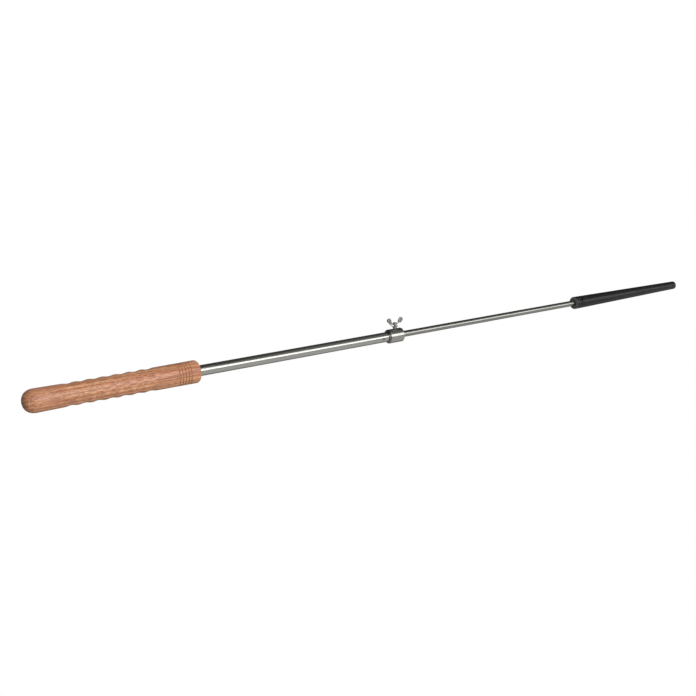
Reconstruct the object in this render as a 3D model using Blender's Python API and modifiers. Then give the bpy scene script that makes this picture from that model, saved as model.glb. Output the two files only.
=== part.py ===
"""Telescopic roasting stick for a campfire, built as an assembly of separate pieces.

The stick lies along X, with its wooden handle at -X and its roasting cone at +X, and it is drawn
out to its full length. The wing screw that clamps the rod stands up, towards +Z. The origin is
on the stick's axis, in the middle of the handle.
"""

import math

import bmesh
import bpy
from mathutils import Matrix, Vector

MM = 0.001

# Clearances
GAP = 0.3 * MM              # between neighbouring pieces that touch or are fixed to each other
RUNNING_GAP = 0.1 * MM      # radial, between pieces that slide or turn on each other
BUSH_GAP = 0.07 * MM        # radial, between the tail bush and the tube
GLUE_ROOM = 0.6 * MM        # behind the plug, at the end of the handle's bore

# Handle, turned from one piece of beech
HANDLE_LENGTH = 197.5 * MM
HANDLE_CENTRE_X = 0.0
BUTT_RADIUS = 13.0 * MM
BUTT_DOME_LENGTH = 13.5 * MM
BUTT_DOME_POWER = 2.25
NECK_RADIUS = 12.6 * MM
GRIP_END_RADIUS = 12.95 * MM
FRONT_RADIUS = 13.2 * MM
WAVE_COUNT = 7
WAVE_PITCH = 14.8 * MM
WAVE_DEPTH = 0.95 * MM
WAVES_START = 42.5 * MM     # from the butt
RING_COUNT = 5
RING_PITCH = 3.45 * MM
RING_WIDTH = 1.3 * MM
RING_DEPTH = 0.5 * MM
FIRST_RING = 171.0 * MM     # from the butt
FRONT_EDGE_RADIUS = 4.0 * MM
MOUTH_CHAMFER = 0.5 * MM

# Outer tube
TUBE_RADIUS = 6.35 * MM
TUBE_WALL = 1.0 * MM
TUBE_IN_HANDLE = 99.0 * MM
TUBE_EXPOSED = 263.0 * MM
TUBE_EDGE = 0.25 * MM       # chamfer on the ends of the tube and the rod
STAKE_HALF_LENGTH = 1.6 * MM
STAKE_HALF_WIDTH = 0.8 * MM
STAKE_DEPTH = 0.6 * MM
STAKE_FROM_COLLAR = 9.2 * MM

# Plug in the tube's rear end
PLUG_FLANGE = 2.0 * MM
PLUG_LENGTH = 9.0 * MM
PLUG_LEAD_IN = 0.9 * MM

# Clamp collar, with a spigot inside the tube
COLLAR_RADIUS = 9.0 * MM
COLLAR_LENGTH = 22.2 * MM
SPIGOT_LENGTH = 14.0 * MM
COLLAR_REAR_CHAMFER = 1.7 * MM
COLLAR_FRONT_EDGE = 0.8 * MM
COLLAR_MOUTH_CHAMFER = 0.4 * MM
SCREW_FROM_COLLAR_REAR = 12.0 * MM

# Rod, a thinner tube
ROD_RADIUS = 4.0 * MM
ROD_WALL = 1.0 * MM
ROD_EXPOSED = 310.8 * MM
ROD_IN_CONE = 30.0 * MM

# Bush on the rod's tail, and the spindle that holds it
BUSH_LENGTH = 12.0 * MM
BUSH_CHAMFER = 0.6 * MM
SPINDLE_RADIUS = 3.5 * MM
SPINDLE_SHANK = 10.0 * MM
SPINDLE_FLANGE = 2.0 * MM
SPINDLE_FLANGE_RADIUS = 4.9 * MM
SMALL_CHAMFER = 0.3 * MM    # on the ends of the spindle and the spigot

# Wing screw, M4, and the pad under its tip
THREAD_RADIUS = 2.0 * MM
PAD_RADIUS = 1.9 * MM
PAD_THICKNESS = 1.0 * MM
THREAD_EXPOSED = 1.15 * MM
HUB_BASE_RADIUS = 2.7 * MM
HUB_TOP_RADIUS = 2.6 * MM
HUB_HEIGHT = 6.9 * MM
WING_THICKNESS = 2.0 * MM
WING_SPAN = 23.2 * MM
WING_HEIGHT = 13.6 * MM
LOBE_RADIUS = 2.9 * MM
WING_ROOT = (1.9 * MM, 0.25 * MM)     # distance from the screw's axis, height over the hub's base
WING_VALLEY = (4.2 * MM, 6.3 * MM)
WING_ANGLE = math.radians(-4.0)

# Roasting cone and its screw
CONE_LENGTH = 218.0 * MM
CONE_BASE_RADIUS = 8.95 * MM
CONE_TIP_RADIUS = 6.0 * MM
CONE_BASE_CHAMFER = 0.6 * MM
CONE_TIP_EDGE = 1.2 * MM
CONE_SCREW_FROM_BASE = 6.5 * MM
CONE_SCREW_ANGLE = math.radians(143.0)
SCREW_HEAD_RADIUS = 4.0 * MM
SCREW_HEAD_HEIGHT = 2.3 * MM
SCREW_HEAD_RIM = 0.3 * MM
SCREW_HEAD_TOP = 7.7 * MM   # from the cone's axis
SCREW_TIP = 1.0 * MM        # from the cone's axis
SINK_MARGIN = 0.5 * MM
INSERT_LENGTH = 14.0 * MM
DRILL_REACH = 18.0 * MM     # from the stick's axis to the far end of a drill, in the open

# Places along X that follow from the sizes above
HANDLE_FRONT_X = HANDLE_CENTRE_X + HANDLE_LENGTH / 2
HANDLE_BUTT_X = HANDLE_CENTRE_X - HANDLE_LENGTH / 2
TUBE_REAR_X = HANDLE_FRONT_X - TUBE_IN_HANDLE
COLLAR_REAR_X = HANDLE_FRONT_X + TUBE_EXPOSED
COLLAR_FRONT_X = COLLAR_REAR_X + COLLAR_LENGTH
WING_SCREW_X = COLLAR_REAR_X + SCREW_FROM_COLLAR_REAR
SPIGOT_REAR_X = COLLAR_REAR_X - SPIGOT_LENGTH
BUSH_FRONT_X = SPIGOT_REAR_X - GAP
ROD_TAIL_X = BUSH_FRONT_X + GAP
CONE_BASE_X = COLLAR_FRONT_X + ROD_EXPOSED
ROD_FRONT_X = CONE_BASE_X + ROD_IN_CONE
CONE_SCREW_X = CONE_BASE_X + CONE_SCREW_FROM_BASE

# Radii that follow
TUBE_BORE = TUBE_RADIUS - TUBE_WALL
ROD_BORE = ROD_RADIUS - ROD_WALL
ROD_GUIDE_BORE = ROD_RADIUS + RUNNING_GAP
CROSS_HOLE_RADIUS = THREAD_RADIUS + GAP

# Number of sides of the turned pieces, and of steps in their curves
HANDLE_SIDES = 32
TUBE_SIDES = 48
CONE_SIDES = 40
SMALL_SIDES = 32
HOLE_SIDES = 24
STAKE_SEGMENTS = 12
STAKE_RINGS = 8
DOME_STEPS = 8
WAVE_STEPS = 6
FRONT_EDGE_STEPS = 5
COLLAR_EDGE_STEPS = 2
CONE_EDGE_STEPS = 4
LOBE_STEPS = 12
SHARP_ANGLE = math.radians(35.0)
MERGE_DISTANCE = 0.00001

SIDEWAYS = Matrix.Rotation(math.pi / 2, 4, "Y")


def clear_scene():
    """Remove every object, so that the model is built in an empty scene."""
    for old in list(bpy.data.objects):
        bpy.data.objects.remove(old, do_unlink=True)


def new_collection(name):
    """Add a collection to the scene."""
    collection = bpy.data.collections.new(name)
    bpy.context.scene.collection.children.link(collection)
    return collection


def new_material(name, colour, roughness, metallic):
    """Make a plain Principled material."""
    material = bpy.data.materials.new(name)
    material.use_nodes = True
    shader = material.node_tree.nodes["Principled BSDF"]
    shader.inputs["Base Color"].default_value = (*colour, 1.0)
    shader.inputs["Roughness"].default_value = roughness
    shader.inputs["Metallic"].default_value = metallic
    return material


def place(name, mesh, matrix, collection, material=None):
    """Put a mesh in the scene as a named object."""
    piece = bpy.data.objects.new(name, mesh)
    collection.objects.link(piece)
    piece.matrix_world = matrix
    if material is not None:
        mesh.materials.append(material)
    return piece


def turned_mesh(name, outline, sides, closed):
    """Turn a half outline of (distance along the axis, radius) points about Z.

    An outline that is open starts and ends on the axis. It runs down its outer side.
    """
    profile = bpy.data.meshes.new(name + "_profile")
    points = [(radius, 0.0, along) for along, radius in outline]
    edges = [(i, i + 1) for i in range(len(points) - 1)]
    if closed:
        edges.append((len(points) - 1, 0))
    profile.from_pydata(points, edges, [])
    blank = bpy.data.objects.new(name + "_blank", profile)
    bpy.context.scene.collection.objects.link(blank)
    screw = blank.modifiers.new("Turn", "SCREW")
    screw.axis = "Z"
    screw.angle = 2 * math.pi
    screw.steps = sides
    screw.render_steps = sides
    screw.use_merge_vertices = True
    screw.merge_threshold = MERGE_DISTANCE
    depsgraph = bpy.context.evaluated_depsgraph_get()
    mesh = bpy.data.meshes.new_from_object(blank.evaluated_get(depsgraph))
    mesh.name = name
    mesh.shade_smooth()
    mesh.set_sharp_from_angle(angle=SHARP_ANGLE)
    bpy.data.objects.remove(blank)
    bpy.data.meshes.remove(profile)
    return mesh


def turned_along_x(name, outline, rear_x, sides, closed, collection, material):
    """Place a turned piece with its axis on the stick's axis and its rear end at rear_x."""
    mesh = turned_mesh(name, outline, sides, closed)
    matrix = Matrix.Translation((rear_x, 0.0, 0.0)) @ SIDEWAYS
    return place(name, mesh, matrix, collection, material)


def radial_matrix(x, angle, radius=0.0):
    """Give the place whose +Z points away from the stick's axis, at an angle about it from +Y."""
    outward = Vector((0.0, math.cos(angle), math.sin(angle)))
    turn = Vector((0.0, 0.0, 1.0)).rotation_difference(outward).to_matrix().to_4x4()
    return Matrix.Translation(Vector((x, 0.0, 0.0)) + radius * outward) @ turn


def cone_mesh(name, low, high, low_radius, high_radius, sides):
    """Make a closed cone or cylinder about Z, between two heights."""
    mesh = bpy.data.meshes.new(name)
    form = bmesh.new()
    bmesh.ops.create_cone(form, cap_ends=True, segments=sides, radius1=low_radius,
                          radius2=high_radius, depth=high - low)
    bmesh.ops.translate(form, verts=form.verts, vec=(0.0, 0.0, (low + high) / 2))
    form.to_mesh(mesh)
    form.free()
    return mesh


def add_tool(name, mesh, matrix, tools):
    """Place a hidden shape that cuts or joins a piece."""
    tool = place(name, mesh, matrix, tools)
    tool.hide_render = True
    tool.display_type = "WIRE"
    return tool


def combine(piece, tool, operation):
    """Cut a tool out of a piece, or join it on."""
    boolean = piece.modifiers.new(tool.name, "BOOLEAN")
    boolean.operation = operation
    boolean.solver = "EXACT"
    boolean.object = tool


def arc(centre_along, centre_radius, radius, start_deg, end_deg, steps):
    """Give points on an arc of an outline. 0 degrees points forwards and 90 outwards."""
    points = []
    for step in range(steps + 1):
        angle = math.radians(start_deg + (end_deg - start_deg) * step / steps)
        points.append((centre_along + radius * math.cos(angle),
                       centre_radius + radius * math.sin(angle)))
    return points


def mix(start, end, share):
    """Go a share of the way from start to end."""
    return start + (end - start) * share


def butt_dome():
    """Give the rounded butt's outline, from its full radius to the axis."""
    points = []
    for step in range(DOME_STEPS, -1, -1):
        angle = math.pi / 2 * step / DOME_STEPS
        along = BUTT_DOME_LENGTH * (1.0 - math.cos(angle) ** (2.0 / BUTT_DOME_POWER))
        radius = BUTT_RADIUS * math.sin(angle) ** (2.0 / BUTT_DOME_POWER)
        points.append((along, radius))
    return points


def grip_waves():
    """Give the shallow finger waves' outline, from the front one to the rear one."""
    steps = WAVE_COUNT * WAVE_STEPS
    length = WAVE_COUNT * WAVE_PITCH
    points = []
    for step in range(steps, -1, -1):
        share = step / steps
        crest = mix(NECK_RADIUS, GRIP_END_RADIUS, share)
        dip = WAVE_DEPTH * (1.0 - math.cos(2 * math.pi * WAVE_COUNT * share)) / 2
        points.append((WAVES_START + share * length, crest - dip))
    return points


def front_radius(along):
    """Give the radius of the plain front of the handle, at a distance from the butt."""
    waves_end = WAVES_START + WAVE_COUNT * WAVE_PITCH
    share = (along - waves_end) / (HANDLE_LENGTH - FRONT_EDGE_RADIUS - waves_end)
    return mix(GRIP_END_RADIUS, FRONT_RADIUS, share)


def decorative_rings():
    """Give the fine V-grooves round the handle's front, from the front one to the rear one."""
    points = []
    for ring in range(RING_COUNT - 1, -1, -1):
        middle = FIRST_RING + ring * RING_PITCH
        points.append((middle + RING_WIDTH / 2, front_radius(middle + RING_WIDTH / 2)))
        points.append((middle, front_radius(middle) - RING_DEPTH))
        points.append((middle - RING_WIDTH / 2, front_radius(middle - RING_WIDTH / 2)))
    return points


def make_handle(parts, material):
    """Turned handle with a blind bore that takes the tube."""
    bore = TUBE_RADIUS + GAP
    bore_end = HANDLE_LENGTH - TUBE_IN_HANDLE - GAP - PLUG_FLANGE - GLUE_ROOM
    outline = [
        (bore_end, 0.0),
        (bore_end, bore),
        (HANDLE_LENGTH - MOUTH_CHAMFER, bore),
        (HANDLE_LENGTH, bore + MOUTH_CHAMFER),
    ]
    outline += arc(HANDLE_LENGTH - FRONT_EDGE_RADIUS, FRONT_RADIUS - FRONT_EDGE_RADIUS,
                   FRONT_EDGE_RADIUS, 0, 90, FRONT_EDGE_STEPS)
    outline += decorative_rings()
    outline += grip_waves()
    outline += butt_dome()
    return turned_along_x("handle", outline, HANDLE_BUTT_X, HANDLE_SIDES, False, parts, material)


def make_outer_tube(parts, tools, material):
    """Outer tube, staked on both sides where the collar's spigot is inside it."""
    length = TUBE_IN_HANDLE + TUBE_EXPOSED - GAP
    outline = [
        (length, TUBE_RADIUS - TUBE_EDGE),
        (length - TUBE_EDGE, TUBE_RADIUS),
        (TUBE_EDGE, TUBE_RADIUS),
        (0.0, TUBE_RADIUS - TUBE_EDGE),
        (0.0, TUBE_BORE),
        (length, TUBE_BORE),
    ]
    tube = turned_along_x("outer_tube", outline, TUBE_REAR_X, TUBE_SIDES, True, parts, material)
    for number, angle in enumerate((0.0, math.pi)):
        dent = bpy.data.meshes.new("stake_dent")
        form = bmesh.new()
        bmesh.ops.create_uvsphere(form, u_segments=STAKE_SEGMENTS, v_segments=STAKE_RINGS,
                                  radius=1.0)
        bmesh.ops.scale(form, verts=form.verts,
                        vec=(STAKE_HALF_LENGTH, STAKE_HALF_WIDTH, STAKE_DEPTH))
        form.to_mesh(dent)
        form.free()
        matrix = radial_matrix(COLLAR_REAR_X - STAKE_FROM_COLLAR, angle, TUBE_RADIUS)
        combine(tube, add_tool("stake_punch_%d" % number, dent, matrix, tools), "DIFFERENCE")
    return tube


def make_tube_end_plug(parts, material):
    """Flanged plug that closes the tube's rear end, inside the handle."""
    outline = [
        (PLUG_FLANGE + PLUG_LENGTH, 0.0),
        (PLUG_FLANGE + PLUG_LENGTH, TUBE_BORE - GAP - PLUG_LEAD_IN),
        (PLUG_FLANGE + PLUG_LENGTH - PLUG_LEAD_IN, TUBE_BORE - GAP),
        (PLUG_FLANGE, TUBE_BORE - GAP),
        (PLUG_FLANGE, TUBE_RADIUS - GAP),
        (0.0, TUBE_RADIUS - GAP),
        (0.0, 0.0),
    ]
    rear_x = TUBE_REAR_X - GAP - PLUG_FLANGE
    return turned_along_x("tube_end_plug", outline, rear_x, SMALL_SIDES, False, parts, material)


def make_clamp_collar(parts, tools, material):
    """Collar with the rod's bore, a spigot for the tube and a cross hole for the wing screw."""
    length = SPIGOT_LENGTH + COLLAR_LENGTH
    spigot_radius = TUBE_BORE - GAP
    outline = [(length, ROD_GUIDE_BORE + COLLAR_MOUTH_CHAMFER)]
    outline += arc(length - COLLAR_FRONT_EDGE, COLLAR_RADIUS - COLLAR_FRONT_EDGE,
                   COLLAR_FRONT_EDGE, 0, 90, COLLAR_EDGE_STEPS)
    outline += [
        (SPIGOT_LENGTH + COLLAR_REAR_CHAMFER, COLLAR_RADIUS),
        (SPIGOT_LENGTH, COLLAR_RADIUS - COLLAR_REAR_CHAMFER),
        (SPIGOT_LENGTH, spigot_radius),
        (SMALL_CHAMFER, spigot_radius),
        (0.0, spigot_radius - SMALL_CHAMFER),
        (0.0, ROD_GUIDE_BORE),
        (length - COLLAR_MOUTH_CHAMFER, ROD_GUIDE_BORE),
    ]
    collar = turned_along_x("clamp_collar", outline, SPIGOT_REAR_X, TUBE_SIDES, True, parts,
                            material)
    drill = cone_mesh("cross_drill", 0.0, DRILL_REACH, CROSS_HOLE_RADIUS, CROSS_HOLE_RADIUS,
                      HOLE_SIDES)
    matrix = radial_matrix(WING_SCREW_X, math.pi / 2)
    combine(collar, add_tool("wing_screw_drill", drill, matrix, tools), "DIFFERENCE")
    return collar


def lobe_arc(from_low, from_high):
    """Give the rounded end of the right wing, between the lines from two points that touch it.

    All points are (distance from the screw's axis, height over the hub's base).
    """
    centre = Vector((WING_SPAN / 2 - LOBE_RADIUS, WING_HEIGHT - LOBE_RADIUS))
    angles = []
    for point, side in ((from_low, 1.0), (from_high, -1.0)):
        towards = Vector(point) - centre
        lean = math.acos(LOBE_RADIUS / towards.length)
        angles.append(math.atan2(towards.y, towards.x) + side * lean)
    low, high = angles
    high += 2 * math.pi
    points = []
    for step in range(LOBE_STEPS + 1):
        angle = mix(low, high, step / LOBE_STEPS)
        points.append((centre.x + LOBE_RADIUS * math.cos(angle),
                       centre.y + LOBE_RADIUS * math.sin(angle)))
    return points


def wing_outline():
    """Give the outline of both wings, counter-clockwise from the right wing's root."""
    right = [WING_ROOT] + lobe_arc(WING_ROOT, WING_VALLEY) + [WING_VALLEY]
    left = [(-across, height) for across, height in reversed(right)]
    return right + left


def wing_mesh():
    """Make the flat plate of both wings, upright in the XZ plane."""
    curve = bpy.data.curves.new("wing_plate", "CURVE")
    curve.dimensions = "2D"
    curve.fill_mode = "BOTH"
    curve.extrude = WING_THICKNESS / 2
    points = wing_outline()
    spline = curve.splines.new("POLY")
    spline.points.add(len(points) - 1)
    for point, (across, height) in zip(spline.points, points):
        point.co = (across, height, 0.0, 1.0)
    spline.use_cyclic_u = True
    blank = bpy.data.objects.new("wing_plate_blank", curve)
    bpy.context.scene.collection.objects.link(blank)
    depsgraph = bpy.context.evaluated_depsgraph_get()
    mesh = bpy.data.meshes.new_from_object(blank.evaluated_get(depsgraph))
    bpy.data.objects.remove(blank)
    form = bmesh.new()
    form.from_mesh(mesh)
    bmesh.ops.remove_doubles(form, verts=form.verts, dist=MERGE_DISTANCE)
    form.to_mesh(mesh)
    form.free()
    mesh.transform(Matrix.Rotation(math.pi / 2, 4, "X"))
    return mesh


def make_wing_screw(parts, tools, material):
    """Wing screw: a threaded shank, a round hub and two flat wings in one piece."""
    hub_base = COLLAR_RADIUS + THREAD_EXPOSED
    tip = ROD_RADIUS + PAD_THICKNESS + 2 * GAP
    turn = Matrix.Rotation(WING_ANGLE, 4, "Z")
    middle = Matrix.Translation((WING_SCREW_X, 0.0, 0.0)) @ turn
    hub = cone_mesh("wing_screw", hub_base, hub_base + HUB_HEIGHT, HUB_BASE_RADIUS,
                    HUB_TOP_RADIUS, SMALL_SIDES)
    screw = place("wing_screw", hub, middle, parts, material)
    shank = cone_mesh("wing_shank", tip, hub_base + HUB_HEIGHT / 2, THREAD_RADIUS,
                      THREAD_RADIUS, HOLE_SIDES)
    combine(screw, add_tool("wing_screw_shank", shank, middle, tools), "UNION")
    lift = Matrix.Translation((0.0, 0.0, hub_base))
    combine(screw, add_tool("wing_screw_plate", wing_mesh(), middle @ lift, tools), "UNION")
    return screw


def make_pressure_pad(parts, material):
    """Small pad between the wing screw's tip and the rod."""
    low = ROD_RADIUS + GAP
    pad = cone_mesh("pressure_pad", low, low + PAD_THICKNESS, PAD_RADIUS, PAD_RADIUS, HOLE_SIDES)
    return place("pressure_pad", pad, Matrix.Translation((WING_SCREW_X, 0.0, 0.0)), parts,
                 material)


def make_inner_rod(parts, tools, material):
    """Rod that slides in the collar and the tube, drilled for the cone's screw."""
    length = ROD_FRONT_X - ROD_TAIL_X
    outline = [
        (length, ROD_RADIUS - TUBE_EDGE),
        (length - TUBE_EDGE, ROD_RADIUS),
        (TUBE_EDGE, ROD_RADIUS),
        (0.0, ROD_RADIUS - TUBE_EDGE),
        (0.0, ROD_BORE),
        (length, ROD_BORE),
    ]
    rod = turned_along_x("inner_rod", outline, ROD_TAIL_X, SMALL_SIDES, True, parts, material)
    combine(rod, screw_drill("rod_drill", tools), "DIFFERENCE")
    return rod


def make_tail_bush(parts, material):
    """Guide bush that runs in the tube and stops the rod against the collar's spigot."""
    outer = TUBE_BORE - BUSH_GAP
    bore = SPINDLE_RADIUS + RUNNING_GAP
    outline = [
        (BUSH_LENGTH, outer - BUSH_CHAMFER),
        (BUSH_LENGTH - BUSH_CHAMFER, outer),
        (BUSH_CHAMFER, outer),
        (0.0, outer - BUSH_CHAMFER),
        (0.0, bore),
        (BUSH_LENGTH, bore),
    ]
    return turned_along_x("tail_bush", outline, BUSH_FRONT_X - BUSH_LENGTH, TUBE_SIDES, True,
                          parts, material)


def make_tail_spindle(parts, material):
    """Spindle pressed into the rod's tail, which the bush turns on."""
    journal = BUSH_LENGTH + GAP
    journal_end = SPINDLE_FLANGE + journal
    shank_end = journal_end + SPINDLE_SHANK
    shank_radius = ROD_BORE - GAP
    outline = [
        (shank_end, 0.0),
        (shank_end, shank_radius - SMALL_CHAMFER),
        (shank_end - SMALL_CHAMFER, shank_radius),
        (journal_end, shank_radius),
        (journal_end, SPINDLE_RADIUS),
        (SPINDLE_FLANGE, SPINDLE_RADIUS),
        (SPINDLE_FLANGE, SPINDLE_FLANGE_RADIUS),
        (SMALL_CHAMFER, SPINDLE_FLANGE_RADIUS),
        (0.0, SPINDLE_FLANGE_RADIUS - SMALL_CHAMFER),
        (0.0, 0.0),
    ]
    rear_x = BUSH_FRONT_X - BUSH_LENGTH - GAP - SPINDLE_FLANGE
    return turned_along_x("tail_spindle", outline, rear_x, SMALL_SIDES, False, parts, material)


def screw_drill(name, tools):
    """Add the drill for the cone screw's shank."""
    drill = cone_mesh(name, SCREW_TIP - GAP, DRILL_REACH, CROSS_HOLE_RADIUS, CROSS_HOLE_RADIUS,
                      HOLE_SIDES)
    return add_tool(name, drill, radial_matrix(CONE_SCREW_X, CONE_SCREW_ANGLE), tools)


def make_rod_insert(parts, tools, material):
    """Slug in the rod's front end, tapped for the cone's screw."""
    radius = ROD_BORE - GAP
    outline = [
        (INSERT_LENGTH, 0.0),
        (INSERT_LENGTH, radius),
        (0.0, radius),
        (0.0, 0.0),
    ]
    rear_x = CONE_SCREW_X - INSERT_LENGTH / 2
    slug = turned_along_x("rod_insert", outline, rear_x, SMALL_SIDES, False, parts, material)
    combine(slug, screw_drill("insert_drill", tools), "DIFFERENCE")
    return slug


def make_roasting_cone(parts, tools, material):
    """Long tapered cone with a socket for the rod and a sunk hole for its screw."""
    socket = ROD_IN_CONE + GAP
    outline = [(CONE_LENGTH, 0.0)]
    outline += arc(CONE_LENGTH - CONE_TIP_EDGE, CONE_TIP_RADIUS - CONE_TIP_EDGE, CONE_TIP_EDGE,
                   0, 90, CONE_EDGE_STEPS)
    outline += [
        (CONE_BASE_CHAMFER, CONE_BASE_RADIUS),
        (0.0, CONE_BASE_RADIUS - CONE_BASE_CHAMFER),
        (0.0, ROD_RADIUS + GAP),
        (socket, ROD_RADIUS + GAP),
        (socket, 0.0),
    ]
    cone = turned_along_x("roasting_cone", outline, CONE_BASE_X, CONE_SIDES, False, parts,
                          material)
    mouth = SCREW_HEAD_RADIUS + SINK_MARGIN
    sink_outline = [
        (DRILL_REACH, 0.0),
        (DRILL_REACH, mouth),
        (SCREW_HEAD_TOP - GAP, mouth),
        (SCREW_HEAD_TOP - SCREW_HEAD_HEIGHT - GAP, CROSS_HOLE_RADIUS),
        (SCREW_TIP - GAP, CROSS_HOLE_RADIUS),
        (SCREW_TIP - GAP, 0.0),
    ]
    sink = turned_mesh("countersink", sink_outline, SMALL_SIDES, False)
    matrix = radial_matrix(CONE_SCREW_X, CONE_SCREW_ANGLE)
    combine(cone, add_tool("screw_countersink", sink, matrix, tools), "DIFFERENCE")
    return cone


def make_cone_screw(parts, material):
    """Countersunk screw that holds the cone on the rod."""
    seat = SCREW_HEAD_TOP - SCREW_HEAD_HEIGHT
    outline = [
        (SCREW_HEAD_TOP, 0.0),
        (SCREW_HEAD_TOP, SCREW_HEAD_RADIUS),
        (SCREW_HEAD_TOP - SCREW_HEAD_RIM, SCREW_HEAD_RADIUS),
        (seat, THREAD_RADIUS),
        (SCREW_TIP, THREAD_RADIUS),
        (SCREW_TIP, 0.0),
    ]
    mesh = turned_mesh("cone_screw", outline, HOLE_SIDES, False)
    matrix = radial_matrix(CONE_SCREW_X, CONE_SCREW_ANGLE)
    return place("cone_screw", mesh, matrix, parts, material)


def build():
    """Build every piece of the stick."""
    clear_scene()
    parts = new_collection("roasting_stick")
    tools = new_collection("cutting_tools")

    beech = new_material("oiled_beech", (0.55, 0.30, 0.17), 0.55, 0.0)
    steel = new_material("polished_stainless_steel", (0.60, 0.60, 0.58), 0.25, 1.0)
    turned_steel = new_material("turned_stainless_steel", (0.52, 0.52, 0.50), 0.32, 1.0)
    cast_steel = new_material("wing_screw_steel", (0.62, 0.62, 0.60), 0.30, 1.0)
    coating = new_material("black_non_stick_coating", (0.03, 0.03, 0.032), 0.55, 0.0)
    nylon = new_material("black_nylon", (0.02, 0.02, 0.02), 0.5, 0.0)
    brass = new_material("brass", (0.70, 0.50, 0.22), 0.35, 1.0)

    make_handle(parts, beech)
    make_outer_tube(parts, tools, steel)
    make_tube_end_plug(parts, nylon)
    make_clamp_collar(parts, tools, turned_steel)
    make_wing_screw(parts, tools, cast_steel)
    make_pressure_pad(parts, brass)
    make_inner_rod(parts, tools, steel)
    make_tail_bush(parts, nylon)
    make_tail_spindle(parts, turned_steel)
    make_rod_insert(parts, tools, turned_steel)
    make_roasting_cone(parts, tools, coating)
    make_cone_screw(parts, turned_steel)


build()
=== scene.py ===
"""Looks of the telescopic roasting stick: finer pieces, finishes, light and camera round the frame.

Each sub-assembly is a class. It reads where its pieces lie from the frame, models them with
Blender's operators, gives them their finishes and says which body each one rides on.
"""

import logging
import math
from dataclasses import dataclass, field
from enum import Enum
from typing import Any, Iterable, Sequence

import bpy
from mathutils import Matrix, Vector

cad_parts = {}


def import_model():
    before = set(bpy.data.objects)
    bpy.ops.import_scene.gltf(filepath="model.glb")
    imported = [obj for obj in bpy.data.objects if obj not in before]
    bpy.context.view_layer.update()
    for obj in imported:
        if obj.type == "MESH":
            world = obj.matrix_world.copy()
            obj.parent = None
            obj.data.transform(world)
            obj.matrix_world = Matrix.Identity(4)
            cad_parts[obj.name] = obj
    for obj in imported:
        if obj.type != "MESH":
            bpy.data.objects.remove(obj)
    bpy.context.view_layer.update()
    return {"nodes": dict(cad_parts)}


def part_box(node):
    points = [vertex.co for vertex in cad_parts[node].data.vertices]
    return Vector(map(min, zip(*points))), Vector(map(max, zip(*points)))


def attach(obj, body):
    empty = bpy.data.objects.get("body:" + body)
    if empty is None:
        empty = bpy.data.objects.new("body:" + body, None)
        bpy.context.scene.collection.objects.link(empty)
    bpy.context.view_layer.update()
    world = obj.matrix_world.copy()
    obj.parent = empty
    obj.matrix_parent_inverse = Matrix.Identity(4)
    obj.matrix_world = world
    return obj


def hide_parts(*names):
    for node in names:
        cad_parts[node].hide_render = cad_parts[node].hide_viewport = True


log = logging.getLogger("roasting_stick")

MM = 0.001
MERGE_DISTANCE = 1e-7
SMOOTH_ANGLE = math.radians(32.0)

Pair = tuple[float, float]
Triple = tuple[float, float, float]
Colour = tuple[float, float, float, float]
Outline = list[Pair]
Object = bpy.types.Object
Material = bpy.types.Material
Node = bpy.types.Node
Socket = bpy.types.NodeSocket


class Body(Enum):
    """Rigid bodies of the frame that the finer pieces ride on."""

    HANDLE = "handle_and_tube"
    ROD = "rod_and_cone"
    WING = "wing"


class Axis(Enum):
    """Axis that a piece is turned about."""

    ALONG = (1.0, 0.0, 0.0)
    UP = (0.0, 0.0, 1.0)


# ---- Nodes and colours ----


def linear(hex_colour: str) -> Colour:
    """Turn an sRGB hex colour into the linear colour that shaders work in.

    Args:
        hex_colour: Six hexadecimal digits.

    Returns:
        Red, green, blue and an alpha of 1.
    """
    channels = [int(hex_colour[i : i + 2], 16) / 255 for i in (0, 2, 4)]
    red, green, blue = (
        c / 12.92 if c <= 0.04045 else ((c + 0.055) / 1.055) ** 2.4 for c in channels
    )
    return red, green, blue, 1.0


def add_node(
    material: Material | bpy.types.World,
    kind: str,
    settings: dict[str, Any] | None = None,
    values: dict[int | str, Any] | None = None,
    links: dict[int | str, Socket] | None = None,
) -> Node:
    """Add a shader node with its settings, socket values and incoming links.

    Args:
        material: Material, or world, whose tree gets the node.
        kind: Node type, such as ShaderNodeTexNoise.
        settings: Properties of the node itself.
        values: Values of its unlinked inputs, by name or index.
        links: Output sockets that feed its inputs, by name or index.

    Returns:
        The new node.
    """
    tree = material.node_tree
    node = tree.nodes.new(kind)
    for name, value in (settings or {}).items():
        setattr(node, name, value)
    for key, value in (values or {}).items():
        node.inputs[key].default_value = value
    for key, socket in (links or {}).items():
        tree.links.new(socket, node.inputs[key])
    return node


def set_ramp(node: Node, stops: Sequence[tuple[float, Colour]]) -> None:
    """Give a colour ramp its stops.

    Args:
        node: The colour ramp node.
        stops: Position and colour of each stop, from low to high.
    """
    elements = node.color_ramp.elements
    while len(elements) < len(stops):
        elements.new(1.0)
    for element, (position, colour) in zip(elements, stops):
        element.position = position
        element.color = colour


def grey(value: float) -> Colour:
    """Give a neutral colour of one linear value."""
    return value, value, value, 1.0


def new_material(name: str) -> tuple[Material, Node, Socket]:
    """Start a material.

    Args:
        name: Its name.

    Returns:
        The material, its Principled shader and the Object coordinates socket.
    """
    material = bpy.data.materials.new(name)
    material.use_nodes = True
    shader = material.node_tree.nodes["Principled BSDF"]
    place = add_node(material, "ShaderNodeTexCoord")
    return material, shader, place.outputs["Object"]


def link(material: Material, source: Socket, target: Socket) -> None:
    """Link an output to an input."""
    material.node_tree.links.new(source, target)


# ---- Finishes ----


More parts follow.
